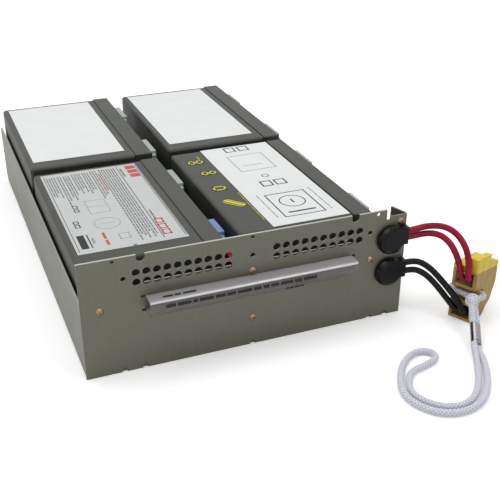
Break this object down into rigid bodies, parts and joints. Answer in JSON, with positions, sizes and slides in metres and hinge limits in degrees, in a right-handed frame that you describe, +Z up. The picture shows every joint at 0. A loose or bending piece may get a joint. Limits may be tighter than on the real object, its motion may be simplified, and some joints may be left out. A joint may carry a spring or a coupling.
{
  "type": "ups battery cartridge",
  "caption": "Battery cartridge of a rack UPS: sealed batteries on a folded steel tray, perforated panel, clear pull strip, strain reliefs, wires, connector and pull cord",
  "frame": {"origin": "bottom centre of the cartridge's box, measured without the free wires, the connector and the pull cord: middle of its width, middle between the pull strip's front and the tray's rear lip, underside of the tray", "axes": "+Z up, -Y towards the user who pulls the cartridge out (panel side), +X to the right as seen from there (terminals, strain reliefs and connector)"},
  "size_m": [0.2807, 0.4531, 0.079],
  "materials": {
    "tray_steel": "bare galvanised sheet, fine grain",
    "panel_steel": "bare galvanised sheet, vertical grain",
    "clear_strip": "glossy clear flexible plastic",
    "rivet_metal": "yellow-passivated blind rivets",
    "battery_case": "dark grey ABS, fine texture",
    "battery_lid": "dark grey ABS, fine texture",
    "vent_plate": "dark grey ABS",
    "label_white": "coated white label",
    "label_grey": "coated pale grey label",
    "foam": "closed-cell foam",
    "terminal_tin": "tinned brass blades",
    "boot_grey": "soft vinyl",
    "boot_blue": "soft vinyl",
    "relief_black": "black nylon",
    "wire_red": "red insulation",
    "wire_black": "black insulation",
    "plug_beige": "moulded nylon",
    "plug_yellow": "moulded nylon",
    "contact_silver": "silver-plated copper",
    "cord_white": "white braid",
    "ferrule_metal": "crimped aluminium sleeve"
  },
  "bodies": {
    "root": {"battery_case_front_left": "battery_case", "battery_case_front_right": "battery_case", "battery_case_rear_left": "battery_case", "battery_case_rear_right": "battery_case", "battery_lid_front_left": "battery_lid", "battery_lid_front_right": "battery_lid", "battery_lid_rear_left": "battery_lid", "battery_lid_rear_right": "battery_lid", "connector_housing": "plug_beige", "connector_key_cap": "plug_yellow", "contact_lower": "contact_silver", "contact_upper": "contact_silver", "cord_ferrule": "ferrule_metal", "cord_hitch": "cord_white", "foam_pad_front_left": "foam", "foam_pad_front_right": "foam", "foam_pad_rear_left": "foam", "foam_pad_rear_right": "foam", "front_panel": "panel_steel", "jumper_left": "wire_black", "jumper_right": "wire_black", "label_front_left": "label_grey", "label_front_right": "label_white", "label_rear_left": "label_white", "label_rear_right": "label_white", "lead_black_left": "wire_black", "lead_black_right": "wire_black", "lead_red_left": "wire_red", "lead_red_right": "wire_red", "panel_rivets": "rivet_metal", "pull_cord": "cord_white", "pull_strip": "clear_strip", "strain_relief_lower": "relief_black", "strain_relief_upper": "relief_black", "terminal_boot_front_left_front": "boot_blue", "terminal_boot_front_left_rear": "boot_grey", "terminal_boot_front_right_front": "boot_grey", "terminal_boot_front_right_rear": "boot_grey", "terminal_boot_rear_left_front": "boot_grey", "terminal_boot_rear_left_rear": "boot_grey", "terminal_boot_rear_right_front": "boot_grey", "terminal_boot_rear_right_rear": "boot_grey", "terminal_tabs_front_left": "terminal_tin", "terminal_tabs_front_right": "terminal_tin", "terminal_tabs_rear_left": "terminal_tin", "terminal_tabs_rear_right": "terminal_tin", "tray": "tray_steel", "vent_plate_front_left": "vent_plate", "vent_plate_front_right": "vent_plate", "vent_plate_rear_left": "vent_plate", "vent_plate_rear_right": "vent_plate", "wire_black_lower": "wire_black", "wire_black_upper": "wire_black", "wire_red_lower": "wire_red", "wire_red_upper": "wire_red"}
  },
  "joints": []
}
